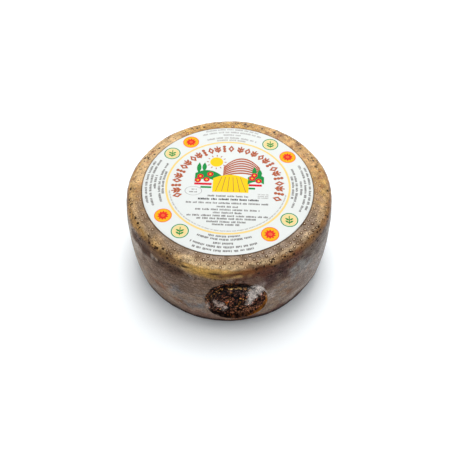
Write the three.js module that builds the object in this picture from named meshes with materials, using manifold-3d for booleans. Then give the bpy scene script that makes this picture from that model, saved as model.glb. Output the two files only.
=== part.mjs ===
// A small aged sheep's-milk cheese wheel with a round paper label on its upper face.
// Millimetres, +Z up. The origin is the middle of the flat underside, and the wheel's
// front, with the burnt-in round mark, faces -Y.
import * as THREE from 'three';
import { mergeVertices } from 'three/addons/utils/BufferGeometryUtils.js';
import Module from 'manifold-3d';

const wasm = await Module();
wasm.setup();

// ---- Driving dimensions ----------------------------------------------------------------
const HEIGHT = 90; // underside to upper face
const SIDE_RADIUS = 95; // where the rounded shoulder runs into the side
const BELLY = 2.65; // how far the side swells halfway down
const FOOT_DRAW_IN = 0.9; // the side is this much narrower at the foot than at the shoulder
const SHOULDER_WIDE = 13.6; // the shoulder's reach inwards over the upper face
const SHOULDER_DEEP = 10.1; // the shoulder's reach down the side
const SHOULDER_POWER = 2.2; // 2 is a plain ellipse, more is squarer
const FOOT_ROUND = 9; // the foot's rounding, as wide as it is tall

// The wheel is not quite round: waves round the rim, and how far each swells.
const LOBES = [
  { waves: 2, swell: 0.22, start: 0 },
  { waves: 3, swell: 0.15, start: Math.PI / 2 },
];

// The drying mat leaves a lattice of small nubs on the rim of the upper face.
const NUB_STEP = 3.45; // the lattice's half diagonal: nubs sit where the step counts add up even
const NUB_RADIUS = 1.25; // at its root
const NUB_CROWN = 0.65; // radius of its top
const NUB_TALL = 0.55;
const NUB_SUNK = 0.4; // how far a nub's root reaches below the surface
const NUB_ARC_END = 89.5; // nubs fade out where the shoulder turns down
const NUB_CLEAR = 0.5; // bare ring between the label's edge and the first nubs

// The paper label lies a little off centre.
const LABEL_RADIUS = 78;
const LABEL_THICK = 0.3;
const LABEL_GAP = 0.05; // air between the paper and the upper face
const LABEL_SHIFT = new THREE.Vector2(-1.2, -0.7);

// The round mark was burnt in with a flat iron, so its floor is flat while the side curves
// away from it. The iron leant down and to the right, where the wall is tallest.
const MARK_AROUND = THREE.MathUtils.degToRad(3.75); // right of the front
const MARK_UP = 43.5; // height of its middle
const MARK_HALF_WIDE = 26.6;
const MARK_HALF_TALL = 30;
const MARK_LEAN = THREE.MathUtils.degToRad(21); // its long axis leans left
const MARK_DEPTH = 4.5; // at its middle
const MARK_TURN = THREE.MathUtils.degToRad(3); // the floor is deeper on the right
const MARK_TIP = THREE.MathUtils.degToRad(4); // and deeper below
const MARK_DRAFT = 0.03; // from floor to rim the wall opens by this share of the radius
const MARK_GROOVE = 0.9; // depth of the two ring grooves in the floor
const MARK_RINGS = { innerStart: 0.6, innerEnd: 0.7, outerStart: 0.92 }; // shares of its radius
const NOTCHES = 24; // plain radial notches between the rings
const NOTCH = { from: 0.74, to: 0.88, wide: 1.5 }; // shares of the radius, and millimetres

const WHEEL_SEGMENTS = 88;
const LABEL_SEGMENTS = 128;
const MARK_SEGMENTS = 48;
const NUB_SEGMENTS = 5;

// ---- Solids ----------------------------------------------------------------------------
// A closed geometry with its shared vertices merged, as a solid that can be cut and joined.
function solid(geometry) {
  const bare = geometry.clone();
  bare.deleteAttribute('normal');
  bare.deleteAttribute('uv');
  const merged = mergeVertices(bare, 1e-4);
  const faces = [];
  const index = merged.index.array;
  for (let i = 0; i < index.length; i += 3) {
    const [a, b, c] = index.subarray(i, i + 3);
    if (a !== b && b !== c && c !== a) faces.push(a, b, c);
  }
  return new wasm.Manifold(new wasm.Mesh({
    numProp: 3,
    vertProperties: merged.attributes.position.array,
    triVerts: new Uint32Array(faces),
  }));
}

function geometryOf(shape) {
  const mesh = shape.getMesh();
  const geometry = new THREE.BufferGeometry();
  geometry.setAttribute('position', new THREE.BufferAttribute(mesh.vertProperties, 3));
  geometry.setIndex(new THREE.BufferAttribute(mesh.triVerts, 1));
  geometry.computeVertexNormals();
  return geometry;
}

// A profile of (radius, height) points turned about the Z axis.
function turned(points, segments) {
  return new THREE.LatheGeometry(points, segments).rotateX(Math.PI / 2);
}

// ---- The wheel's outline ---------------------------------------------------------------
// A quarter of a superellipse, as (across, down) shares from its start to its end.
function quarter(power, steps) {
  return Array.from({ length: steps + 1 }, (_, i) => {
    const t = (i / steps) * (Math.PI / 2);
    return [Math.sin(t) ** (2 / power), 1 - Math.cos(t) ** (2 / power)];
  });
}

const SHOULDER_BASE = HEIGHT - SHOULDER_DEEP;

// The side's radius at a height between the foot's rounding and the shoulder.
function sideRadius(z) {
  const down = (SHOULDER_BASE - z) / (SHOULDER_BASE - FOOT_ROUND);
  return SIDE_RADIUS + 4 * BELLY * down * (1 - down) - FOOT_DRAW_IN * down;
}

function wheelProfile() {
  const foot = quarter(2, 4).map(([across, up]) =>
    [SIDE_RADIUS - FOOT_DRAW_IN - FOOT_ROUND * (1 - across), FOOT_ROUND * up]);
  const sideSteps = 8;
  const side = Array.from({ length: sideSteps - 1 }, (_, i) => {
    const z = FOOT_ROUND + ((SHOULDER_BASE - FOOT_ROUND) * (i + 1)) / sideSteps;
    return [sideRadius(z), z];
  });
  const shoulder = quarter(SHOULDER_POWER, 7).reverse().map(([across, down]) =>
    [SIDE_RADIUS - SHOULDER_WIDE * (1 - across), HEIGHT - SHOULDER_DEEP * down]);
  return [[0, 0], ...foot, ...side, ...shoulder, [0, HEIGHT]]
    .map(([r, z]) => new THREE.Vector2(r, z));
}

// The lobes swell each ring of the turned body in proportion to its radius.
function addLobes(geometry) {
  const position = geometry.attributes.position;
  for (let i = 0; i < position.count; i += 1) {
    const x = position.getX(i);
    const y = position.getY(i);
    const around = Math.atan2(y, x);
    const swell = LOBES.reduce((sum, lobe) =>
      sum + lobe.swell * Math.sin(lobe.waves * around + lobe.start), 0);
    const scale = 1 + swell / SIDE_RADIUS;
    position.setXY(i, x * scale, y * scale);
  }
  return geometry;
}

// ---- The nubs --------------------------------------------------------------------------
// The shoulder's height and slope at a radius, from the superellipse it follows.
function upperSurface(radius) {
  const across = Math.max(0, (radius - (SIDE_RADIUS - SHOULDER_WIDE)) / SHOULDER_WIDE);
  const rise = (1 - across ** SHOULDER_POWER) ** (1 / SHOULDER_POWER);
  const slope = across === 0 ? 0
    : (SHOULDER_DEEP / SHOULDER_WIDE) * (across / rise) ** (SHOULDER_POWER - 1);
  return { height: HEIGHT - SHOULDER_DEEP * (1 - rise), fall: Math.atan(slope) };
}

function nubShape() {
  const profile = [
    [0, -NUB_SUNK], [NUB_RADIUS, -NUB_SUNK], [NUB_CROWN, NUB_TALL], [0, NUB_TALL],
  ].map(([r, z]) => new THREE.Vector2(r, z));
  return solid(turned(profile, NUB_SEGMENTS));
}

function nubPlaces() {
  const places = [];
  const reach = Math.ceil(NUB_ARC_END / NUB_STEP);
  for (let i = -reach; i <= reach; i += 1) {
    for (let j = -reach; j <= reach; j += 1) {
      const spot = new THREE.Vector2(i * NUB_STEP, j * NUB_STEP);
      const fromLabel = spot.distanceTo(LABEL_SHIFT) - LABEL_RADIUS - NUB_RADIUS;
      if ((i + j) % 2 === 0 && fromLabel > NUB_CLEAR && spot.length() < NUB_ARC_END) {
        places.push(spot);
      }
    }
  }
  return places;
}

function addNubs(body) {
  const nub = nubShape();
  return nubPlaces().reduce((whole, spot) => {
    const { height, fall } = upperSurface(spot.length());
    const outwards = new THREE.Vector3(spot.x, spot.y, 0).normalize();
    const normal = outwards.clone().multiplyScalar(Math.sin(fall))
      .add(new THREE.Vector3(0, 0, Math.cos(fall)));
    const turn = new THREE.Quaternion()
      .setFromUnitVectors(new THREE.Vector3(0, 0, 1), normal);
    const place = new THREE.Matrix4()
      .compose(new THREE.Vector3(spot.x, spot.y, height), turn, new THREE.Vector3(1, 1, 1));
    return whole.add(nub.transform(place.elements));
  }, body);
}

// ---- The burnt-in mark -----------------------------------------------------------------
// The iron, with its face down at z = 0 in its own frame: shares of its radius across, and
// millimetres deep. Two rings and a circle of plain notches stand out from the face.
function ironShape() {
  const { innerStart, innerEnd, outerStart } = MARK_RINGS;
  const bevel = 0.02; // slope of the rings' edges, as a share of the radius
  const tall = 3; // the iron is this many times as tall as the mark is deep
  const profile = [
    [0, 0], [innerStart, 0], [innerStart + bevel, -MARK_GROOVE],
    [innerEnd - bevel, -MARK_GROOVE], [innerEnd, 0], [outerStart, 0],
    [outerStart + bevel, -MARK_GROOVE], [1, -MARK_GROOVE],
    [1 + tall * MARK_DRAFT, tall * MARK_DEPTH], [0, tall * MARK_DEPTH],
  ].map(([r, z]) => new THREE.Vector2(r, z));
  let iron = solid(turned(profile, MARK_SEGMENTS).scale(MARK_HALF_WIDE, MARK_HALF_TALL, 1));
  for (let n = 0; n < NOTCHES; n += 1) {
    const around = (n / NOTCHES) * 2 * Math.PI;
    const middle = (NOTCH.from + NOTCH.to) / 2;
    const long = (NOTCH.to - NOTCH.from) * MARK_HALF_WIDE;
    const x = middle * MARK_HALF_WIDE * Math.cos(around);
    const y = middle * MARK_HALF_TALL * Math.sin(around);
    const box = new THREE.BoxGeometry(long, NOTCH.wide, 2 * MARK_GROOVE)
      .rotateZ(around).translate(x, y, 0);
    iron = iron.add(solid(box));
  }
  return iron;
}

function cutMark(body) {
  const outwards = new THREE.Vector3(Math.sin(MARK_AROUND), -Math.cos(MARK_AROUND), 0);
  const rightwards = new THREE.Vector3(Math.cos(MARK_AROUND), Math.sin(MARK_AROUND), 0);
  const upwards = new THREE.Vector3(0, 0, 1);
  const place = new THREE.Matrix4().makeBasis(rightwards, upwards, outwards)
    .setPosition(outwards.clone().multiplyScalar(sideRadius(MARK_UP) - MARK_DEPTH).setZ(MARK_UP))
    .multiply(new THREE.Matrix4().makeRotationY(MARK_TURN))
    .multiply(new THREE.Matrix4().makeRotationX(MARK_TIP))
    .multiply(new THREE.Matrix4().makeRotationZ(MARK_LEAN));
  return body.subtract(ironShape().transform(place.elements));
}

// ---- Pieces ----------------------------------------------------------------------------
function makeWheel() {
  const body = solid(addLobes(turned(wheelProfile(), WHEEL_SEGMENTS)));
  const rind = new THREE.MeshStandardMaterial({
    name: 'rind', color: 0x8f7450, roughness: 0.55, metalness: 0,
  });
  const wheel = new THREE.Mesh(geometryOf(cutMark(addNubs(body))), rind);
  wheel.name = 'wheel';
  return wheel;
}

function makeLabel() {
  const paper = new THREE.MeshStandardMaterial({
    name: 'paper', color: 0xe9edee, roughness: 0.6, metalness: 0,
  });
  const disc = new THREE.CylinderGeometry(
    LABEL_RADIUS, LABEL_RADIUS, LABEL_THICK, LABEL_SEGMENTS).rotateX(Math.PI / 2);
  const label = new THREE.Mesh(disc, paper);
  label.name = 'label';
  label.position.set(LABEL_SHIFT.x, LABEL_SHIFT.y, HEIGHT + LABEL_GAP + LABEL_THICK / 2);
  return label;
}

const cheese = new THREE.Group();
cheese.add(makeWheel(), makeLabel());

export default cheese;
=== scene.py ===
# %% [markdown]
# # An aged sheep's-milk cheese wheel
# A small drum of cheese with a tan and grey-brown rind, a lattice of low nubs that the drying
# mat pressed into its upper rim, a round mark burnt into the front with a hot iron, and a
# round paper label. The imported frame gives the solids; here they get their fine surface and
# their finish. Blender works in metres, and the shapes below are worked out in millimetres.

# %% Load the frame
import math

import bpy
import numpy as np
from mathutils import Euler, Matrix, Vector


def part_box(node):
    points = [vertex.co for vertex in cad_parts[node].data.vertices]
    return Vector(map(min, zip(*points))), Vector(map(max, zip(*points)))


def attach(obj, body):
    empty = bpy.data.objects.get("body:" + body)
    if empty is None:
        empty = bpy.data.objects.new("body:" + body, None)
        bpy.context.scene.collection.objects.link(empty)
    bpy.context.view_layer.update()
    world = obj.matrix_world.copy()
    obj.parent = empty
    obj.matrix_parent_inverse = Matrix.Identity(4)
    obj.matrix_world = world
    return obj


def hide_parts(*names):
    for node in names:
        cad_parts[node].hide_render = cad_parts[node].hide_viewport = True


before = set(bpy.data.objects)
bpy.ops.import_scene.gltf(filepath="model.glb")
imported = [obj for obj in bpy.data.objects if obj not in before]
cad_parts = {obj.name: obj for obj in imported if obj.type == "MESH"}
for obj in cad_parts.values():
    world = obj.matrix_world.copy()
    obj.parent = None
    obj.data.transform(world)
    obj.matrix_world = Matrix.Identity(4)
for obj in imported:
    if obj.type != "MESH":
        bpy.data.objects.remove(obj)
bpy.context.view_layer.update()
print("solids:", sorted(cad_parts))

# %% Sizes that the frame gives
MM = 0.001  # a millimetre in metres
label_low, label_high = (np.array(corner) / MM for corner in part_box("label"))
LABEL_CENTRE = (label_low + label_high)[:2] / 2
LABEL_RADIUS = (label_high - label_low)[0] / 2
LABEL_THICK = (label_high - label_low)[2]
LABEL_GAP = 0.05
HEIGHT = label_low[2] - LABEL_GAP
print(f"upper face at {HEIGHT:.2f} mm, label {2 * LABEL_RADIUS:.1f} mm across")

# %% [markdown]
# ## Camera, floor and light
# The camera stands where the photograph was taken from: above the wheel and in front of it,
# looking down. Its place was fitted to the wheel's outline and the label's rim, so the lens
# needs no shift. The floor is a plain white sheet, lit so brightly that only the soft shadow
# under the foot keeps any tone. Most of the light is a bright white room; a large panel
# behind the wheel gives the shine on the far shoulder.

# %% Camera
CAMERA_AT = (0.0, -0.34913, 0.46984)
CAMERA_DOWN = math.radians(51.5515)  # how far below the horizon it looks
CAMERA_LEFT = math.radians(0.4888)  # how far left of straight ahead it looks
CAMERA_ROLL = math.radians(0.3387)
PICTURE = 452  # pixels across the square picture
FOCAL_PIXELS = 561.53
SENSOR = 36

camera = bpy.data.objects.new("camera", bpy.data.cameras.new("camera"))
bpy.context.scene.collection.objects.link(camera)
camera.location = CAMERA_AT
facing = Euler((math.pi / 2 - CAMERA_DOWN, 0, CAMERA_LEFT)).to_matrix()
camera.rotation_euler = (facing @ Matrix.Rotation(-CAMERA_ROLL, 3, "Z")).to_euler()
camera.data.sensor_width = SENSOR
camera.data.lens = FOCAL_PIXELS / PICTURE * SENSOR
camera.data.clip_start = 0.01
bpy.context.scene.camera = camera
print(f"lens {camera.data.lens:.1f} mm")


# %% Lights: a white room and four soft panels
LIT_PLACE = (0, 0, 0.05)
ROOM_LIGHT = 0.36


def panel(name, at, size, power):
    """A square soft light of the given size, turned to shine from a place onto the wheel."""
    light = bpy.data.objects.new(name, bpy.data.lights.new(name, "AREA"))
    bpy.context.scene.collection.objects.link(light)
    light.data.shape = "SQUARE"
    light.data.size = size
    light.data.energy = power
    light.location = at
    light.rotation_euler = (Vector(LIT_PLACE) - Vector(at)).to_track_quat("-Z", "Y").to_euler()


room = bpy.data.worlds.new("white_room")
bpy.context.scene.world = room
room.use_nodes = True
room.node_tree.nodes["Background"].inputs["Color"].default_value = (0.95, 0.98, 1, 1)
room.node_tree.nodes["Background"].inputs["Strength"].default_value = ROOM_LIGHT
bpy.context.scene.view_settings.view_transform = "Standard"

panel("overhead", (0.03, 0.18, 1.25), 0.6, 10.5)
panel("back_window", (0.1, 1.0, 0.8), 0.8, 4.5)
panel("left_panel", (-1.0, 0.1, 0.5), 0.7, 2.5)
panel("right_panel", (1.0, 0.15, 0.5), 0.7, 2.5)

# %% [markdown]
# ## Tools for shapes
# Every surface here is a function of two numbers, worked out for a whole grid at once. Smooth
# unevenness comes from adding up cosine waves, and crumbs and scattered spots from one random
# point in each square of a lattice. All random draws have a fixed seed.


# %% Smooth steps, waves and scattered cells
WAVES = 24


def ease(value, low, high):
    """0 below low and 1 above high, with 3t^2 - 2t^3 between."""
    t = np.clip((value - low) / (high - low), 0, 1)
    return t * t * (3 - 2 * t)


def between(value, low, high, blur):
    """1 from low to high and 0 outside, with soft edges twice blur wide."""
    return ease(value, low - blur, low + blur) * (1 - ease(value, high - blur, high + blur))


def waves(points, size, seed):
    """A smooth random field of unit strength: the sum of cosine waves with lengths near size,
    in random directions and phases, divided by the square root of half their number."""
    draw = np.random.default_rng(seed)
    direction = draw.normal(size=(WAVES, points.shape[1]))
    direction /= np.linalg.norm(direction, axis=1, keepdims=True)
    length = size * draw.uniform(0.6, 1.5, (WAVES, 1))
    phase = draw.uniform(0, 2 * np.pi, WAVES)
    field = np.cos(points @ (direction * 2 * np.pi / length).T + phase)
    return field.sum(1) / math.sqrt(WAVES / 2)


def chance(a, b, seed):
    """A number from 0 to 1 for each pair of whole numbers: the fraction of a large sine."""
    return np.abs(np.sin(a * 127.1 + b * 311.7 + seed * 74.7) * 43758.5453) % 1


def cells(points, step, seed):
    """One random point in each square of side step. Gives each place's distance to the nearest
    one, as a share of step, and that point's own random number."""
    home = np.floor(points / step)
    nearest = np.full(len(points), 9.0)
    own = np.zeros(len(points))
    for i in (-1, 0, 1):
        for j in (-1, 0, 1):
            a, b = home[:, 0] + i, home[:, 1] + j
            away = np.hypot(points[:, 0] / step - a - chance(a, b, seed),
                            points[:, 1] / step - b - chance(a, b, seed + 1))
            own = np.where(away < nearest, chance(a, b, seed + 2), own)
            nearest = np.minimum(nearest, away)
    return nearest, own


# %% Put arrays into a mesh
def make_mesh(name, points, quads, tris=()):
    """An object from points in millimetres (N, 3) and the corner numbers of its quads (Q, 4)
    and triangles (T, 3). Corners run anticlockwise as seen from outside."""
    quads = np.asarray(quads, np.int32).reshape(-1, 4)
    tris = np.asarray(tris, np.int32).reshape(-1, 3)
    mesh = bpy.data.meshes.new(name)
    mesh.vertices.add(len(points))
    mesh.vertices.foreach_set("co", (points * MM).astype(np.float32).ravel())
    corners = np.concatenate([quads.ravel(), tris.ravel()])
    sizes = np.repeat([4, 3], [len(quads), len(tris)])
    mesh.loops.add(len(corners))
    mesh.loops.foreach_set("vertex_index", corners)
    mesh.polygons.add(len(sizes))
    mesh.polygons.foreach_set("loop_start", np.cumsum(sizes) - sizes)
    mesh.update(calc_edges=True)
    mesh.shade_smooth()
    piece = bpy.data.objects.new(name, mesh)
    bpy.context.scene.collection.objects.link(piece)
    print(f"{name}: {2 * len(quads) + len(tris)} triangles")
    return piece


def number_rings(first, rings, columns):
    """Numbers for the points of a grid, counted on from first, one row for each ring."""
    return first + np.arange(rings * columns).reshape(rings, columns)


def ring_quads(rings):
    """Corner numbers of the quads between closed rings of point numbers, (R, C)."""
    after = np.roll(rings, -1, axis=1)
    return np.stack([rings[:-1], rings[1:], after[1:], after[:-1]], -1)


def fan(middle, ring, inwards):
    """Triangles from a middle point to each side of a ring."""
    after = np.roll(ring, -1)
    return np.stack([np.full(len(ring), middle), *((after, ring) if inwards else (ring, after))], -1)


# %% [markdown]
# ## Tools for finishes
# A finish is a sum of patterns, so it is easiest to read as one. A wire wraps an output of the
# material's nodes, and adding or multiplying wires puts down the Math nodes. Every other node
# comes from one method, which is given the node's settings and what goes into its sockets.


# %% Wires and materials
def screen_tone(code):
    """The light that a screen colour's code stands for, as in Blender's own colour picker:
    ((c + 0.055) / 1.055) ^ 2.4 for red, green and blue."""
    tone = np.array([int(code[k:k + 2], 16) for k in (0, 2, 4)]) / 255
    return ((tone + 0.055) / 1.055) ** 2.4


class Wire:
    """An output of a material's nodes. Sums and products of wires and numbers add nodes."""

    def __init__(self, tree, out=None):
        self.tree = tree
        self.out = out

    def node(self, kind, sockets, output=0, **settings):
        """Adds a node with its settings, and puts a number or a wire into each socket."""
        made = self.tree.nodes.new("ShaderNode" + kind)
        for key, value in settings.items():
            setattr(made, key, value)
        for key, value in sockets.items():
            if isinstance(value, Wire):
                self.tree.links.new(value.out, made.inputs[key])
            else:
                made.inputs[key].default_value = value
        return Wire(self.tree, made.outputs[output])

    def math(self, operation, first, second):
        """Adds a Math node for two numbers or wires."""
        return self.node("Math", {0: first, 1: second}, operation=operation)

    def __add__(self, other):
        return self.math("ADD", self, other)

    def __sub__(self, other):
        return self.math("SUBTRACT", self, other)

    def __rsub__(self, other):
        return self.math("SUBTRACT", other, self)

    def __mul__(self, other):
        return self.math("MULTIPLY", self, other)

    __radd__, __rmul__ = __add__, __mul__

    def eased(self, low, high):
        """0 below low and 1 above high, with a soft step between."""
        return self.node("MapRange", {"Value": self, "From Min": low, "From Max": high},
                         interpolation_type="SMOOTHSTEP")

    def tint(self, colour, share):
        """This colour with a share of another mixed in."""
        return self.node("Mix", {0: share, 6: self, 7: (*colour, 1)}, 2, data_type="RGBA")

    def brighter(self, factor):
        """This colour times a number."""
        return self.node("VectorMath", {0: self, "Scale": factor}, operation="SCALE")

    def ramp(self, low, first, high, second):
        """One colour below low, another above high, and their blend between."""
        made = self.node("ValToRGB", {"Fac": self})
        for end, place, colour in zip(made.out.node.color_ramp.elements, (low, high), (first, second)):
            end.position, end.color = place, (*colour, 1)
        return made

    def texture(self, kind, where, length, stretch, **sockets):
        """A pattern with cells of the given length in millimetres, wider along stretch."""
        scaled = self.node("Mapping", {"Vector": where, "Scale": tuple(1 / w for w in stretch)})
        return self.node("Tex" + kind, {"Vector": scaled, "Scale": 1 / (length * MM), **sockets})

    def feed(self, shader, socket):
        """Leads the wire into a socket of the finish itself."""
        self.tree.links.new(self.out, shader.inputs[socket])


def material(name, same):
    """A new material and a wire into its nodes. Sockets that are the same all over are set."""
    made = bpy.data.materials.new(name)
    made.use_nodes = True
    shader = made.node_tree.nodes["Principled BSDF"]
    for socket, value in same.items():
        shader.inputs[socket].default_value = value
    return made, shader, Wire(made.node_tree)


def grain(wire, length, stretch=(1, 1, 1), detail=2.0, rough=0.5):
    """Smooth noise with lumps of about the given length in millimetres, wider along stretch."""
    place = wire.node("TexCoord", {}, 3)
    return wire.texture("Noise", place, length, stretch, Detail=detail, Roughness=rough)


def bumps(wire, height, shader):
    """Raises the finish by a wire that holds heights in millimetres."""
    wire.node("Bump", {"Height": height, "Distance": MM, "Strength": 1.0}).feed(shader, "Normal")


print("wires are ready")

# %% [markdown]
# ## The floor
# A white sheet, far larger than the picture. It glows faintly, as on a product table
# lit from below, and only the soft shadow round the foot keeps any tone. It is the stage, so it
# doesn't count as part of the wheel.

# %% Floor
FLOOR_HALF = 2500  # from its middle to its edges
corner = np.array([[-1, -1], [1, -1], [1, 1], [-1, 1]]) * FLOOR_HALF
floor = make_mesh("floor", np.column_stack([corner, np.zeros(4)]), [[0, 1, 2, 3]])
finish, shader, wire = material("white_sheet", {
    "Roughness": 0.9, "Emission Color": (1, 1, 1, 1), "Emission Strength": 0.09})
fibre = grain(wire, 3).eased(0.3, 0.7)
fibre.ramp(0, (0.92, 0.95, 0.97), 1, (0.93, 0.96, 0.98)).feed(shader, "Base Color")
floor.data.materials.append(finish)

# %% [markdown]
# ## The wheel's outline
# A mould gives the wheel flat faces, rounded shoulders and a side that swells a little under
# the cheese's own weight. The half outline is a curve from the middle of the upper face to
# the middle of the underside. It is resampled by its own length, so that rows of points can be
# spread along it wherever detail is needed, and its corners are averaged away.

# %% The half outline
SIDE_RADIUS = 95
BELLY = 2.65
FOOT_DRAW_IN = 0.9
SHOULDER_WIDE = 13.6
SHOULDER_DEEP = 10.1
SHOULDER_POWER = 2.2
FOOT_ROUND = 9
SOFTEN = 5  # corners are averaged over this length
OUTLINE_STEP = 0.05  # between neighbouring places along the outline


def side_radius(z):
    """A parabola: it swells by BELLY halfway down and draws in by FOOT_DRAW_IN at the foot."""
    base = HEIGHT - SHOULDER_DEEP
    down = (base - z) / (base - FOOT_ROUND)
    return SIDE_RADIUS + 4 * BELLY * down * (1 - down) - FOOT_DRAW_IN * down


def half_outline():
    """Lengths along the outline, and the radius and height there. The shoulder is the
    superellipse |across|^p + |down|^p = 1, and the foot a quarter circle."""
    t = np.linspace(0, np.pi / 2, 500)
    z = np.linspace(HEIGHT - SHOULDER_DEEP, FOOT_ROUND, 500)[1:-1]
    bend = 2 / SHOULDER_POWER
    foot_radius = SIDE_RADIUS - FOOT_DRAW_IN
    radius = np.concatenate([
        [0], SIDE_RADIUS - SHOULDER_WIDE * (1 - np.sin(t) ** bend), side_radius(z),
        foot_radius - FOOT_ROUND * (1 - np.cos(t)), [0]])
    height = np.concatenate([
        [HEIGHT], HEIGHT - SHOULDER_DEEP * (1 - np.abs(np.cos(t)) ** bend), z,
        FOOT_ROUND * (1 - np.sin(t)), [0]])
    along = np.concatenate([[0], np.cumsum(np.hypot(np.diff(radius), np.diff(height)))])
    even = np.arange(0, along[-1], OUTLINE_STEP)
    width = int(SOFTEN / OUTLINE_STEP)
    box = np.ones(width) / width
    line = np.stack([np.interp(even, along, radius), np.interp(even, along, height)])
    padded = np.pad(line, ((0, 0), (width // 2, width - width // 2 - 1)), "edge")
    soft = np.stack([np.convolve(row, box, "valid") for row in padded])
    ends = (even < SOFTEN) | (even > even[-1] - SOFTEN)
    return even, np.where(ends, line, soft)


LENGTH, (RADIUS, LEVEL) = half_outline()
slope = np.gradient(np.stack([RADIUS, LEVEL]), LENGTH, axis=1)
slope /= np.linalg.norm(slope, axis=0)
ON_SIDE = (LEVEL < HEIGHT - 1) & (LEVEL > 1)


def along_at_height(z):
    """How far along the outline the side reaches a height."""
    return np.interp(-z, -LEVEL[ON_SIDE], LENGTH[ON_SIDE])


print(f"outline {LENGTH[-1]:.0f} mm long, {2 * RADIUS.max():.1f} mm across at the belly")

# %% [markdown]
# ## The rind's relief
# The drying mat leaves a square lattice of nubs, set cornerwise, on the rim of the upper face.
# They differ in size and some are nearly worn away. Around them the skin is uneven in long
# swells and short dimples. The same numbers are kept at each point of the mesh, so that the
# rind's colours can follow its relief.

# %% Nubs and unevenness
LOBES = ((2, 0.22, 0.0), (3, 0.15, np.pi / 2))  # waves round the rim, swell, start
SWELLS = ((0.2, 42, 11), (0.06, 8, 12))  # height, width, seed
NUB_STEP = 3.45
NUB_RADIUS = 1.2
NUB_TALL = 0.55
NUB_CLEAR = 0.5  # between the nubs and the label
NUB_MOVED = 0.5  # the most that chance moves a nub
NUB_START = LABEL_RADIUS - 1.5  # the nubs' belt, in lengths along the outline
NUB_END = 92.5


def nubs(x, y):
    """Each place's nearest nub. With a = (x + y) / 2s and b = (x - y) / 2s the nubs sit at whole
    a and b, moved a little by chance. Gives the distance to it and its size."""
    a = np.round((x + y) / (2 * NUB_STEP))
    b = np.round((x - y) / (2 * NUB_STEP))
    centre_x = NUB_STEP * (a + b) + NUB_MOVED * (chance(a, b, 1) - 0.5)
    centre_y = NUB_STEP * (a - b) + NUB_MOVED * (chance(a, b, 2) - 0.5)
    size = 0.55 + 0.6 * chance(a, b, 3)
    edge = np.hypot(centre_x - LABEL_CENTRE[0], centre_y - LABEL_CENTRE[1]) - LABEL_RADIUS
    size = size * ease(edge, NUB_RADIUS + 0.1, NUB_RADIUS + NUB_CLEAR)
    return np.hypot(x - centre_x, y - centre_y), size


def skin(along, around):
    """Points of the rind, (N, 3), at lengths along the outline and angles round it, with how
    far the nearest nub is and its size. Swells and nubs stand out along the outline's own
    normal."""
    radius = np.interp(along, LENGTH, RADIUS)
    z = np.interp(along, LENGTH, LEVEL)
    lean = np.stack([np.interp(along, LENGTH, row) for row in slope])
    swell = 1 + sum(tall * np.sin(n * around + start) for n, tall, start in LOBES) / SIDE_RADIUS
    x, y = radius * np.cos(around), radius * np.sin(around)
    place = np.column_stack([x, y, z])
    away, size = nubs(x, y)
    fade = (1 - ease(along, NUB_END - 3, NUB_END)) * (z > HEIGHT / 2)
    size = fade * size
    nub = size * (1 - ease(away, 0.2 * NUB_RADIUS, NUB_RADIUS))
    free = ease(along, LABEL_RADIUS + 3, LABEL_RADIUS + 9) * ease(z, 0.5, 6)
    rough = free * sum(tall * waves(place, wide, seed) for tall, wide, seed in SWELLS)
    out = rough + NUB_TALL * nub
    flat = out * -lean[1]
    points = np.column_stack([(radius * swell + flat) * np.cos(around),
                              (radius * swell + flat) * np.sin(around), z + out * lean[0]])
    return points, away, size


print(f"nubs every {NUB_STEP * math.sqrt(2):.1f} mm, from {NUB_START} to {NUB_END} mm out")

# %% [markdown]
# ## The burnt-in mark
# A flat round iron was pressed into the curved side, leaning down and to the right, so the
# floor is flat and sunk deepest there, and on the left it hardly touches. The floor is made
# of crumbs, with a ring of plain notches between two grooves. In the mark's own frame, rho
# is 1 at its edge and 0 in its middle, and turn is the angle round it.

# %% Places in the mark's own frame
MARK_AROUND = math.radians(3.75)  # to the right of the front
MARK_UP = 43.5
MARK_HALF = np.array([26.6, 30.0])  # half its width and half its height
MARK_LEAN = math.radians(21)  # of its longer half, to the left
MARK_DEPTH = 4.5
MARK_TURN = math.radians(3)
MARK_TIP = math.radians(4)
MARK_DRAFT = 0.03  # the wall's width in rho
GROOVES = ((0.7175, 0.7525), (0.8775, 0.9175))
GROOVE_EDGE = 0.0075
GROOVE_DEPTH = 0.9
NOTCHES = 24
CRUMB_STEP, CRUMB_TALL = 2.6, 0.75  # one crumb in each square of this side
GRIT_STEP, GRIT_TALL = 1.3, 0.3

MARK_RIGHT = np.array([math.cos(MARK_AROUND), math.sin(MARK_AROUND), 0])
MARK_OUT = np.array([math.sin(MARK_AROUND), -math.cos(MARK_AROUND), 0])
MARK_AXES = np.array([[math.cos(MARK_LEAN), math.sin(MARK_LEAN)],
                      [-math.sin(MARK_LEAN), math.cos(MARK_LEAN)]])


def to_polar(across, up):
    """rho and turn of places across and up from the mark's middle."""
    e = MARK_AXES @ np.stack([across, up]) / MARK_HALF[:, None]
    return np.hypot(*e), np.arctan2(e[1], e[0])


def from_polar(rho, turn):
    """Places across and up from the mark's middle, from rho and turn."""
    e = np.stack([rho * np.cos(turn), rho * np.sin(turn)]) * MARK_HALF[:, None]
    return MARK_AXES.T @ e


def crumbs(across, up):
    """Burnt crumbs the size of coarse salt: one round lump in each square, and finer grit.
    Gives the lumps' height, the grit's height, and each lump's own chance number."""
    spot = np.column_stack([across, up])
    away, own = cells(spot, CRUMB_STEP, 31)
    grit_away = cells(spot, GRIT_STEP, 41)[0]
    return (1 - ease(away, 0.1, 0.75)) * (0.35 + 0.9 * own), 1 - ease(grit_away, 0, 0.7), own


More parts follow.
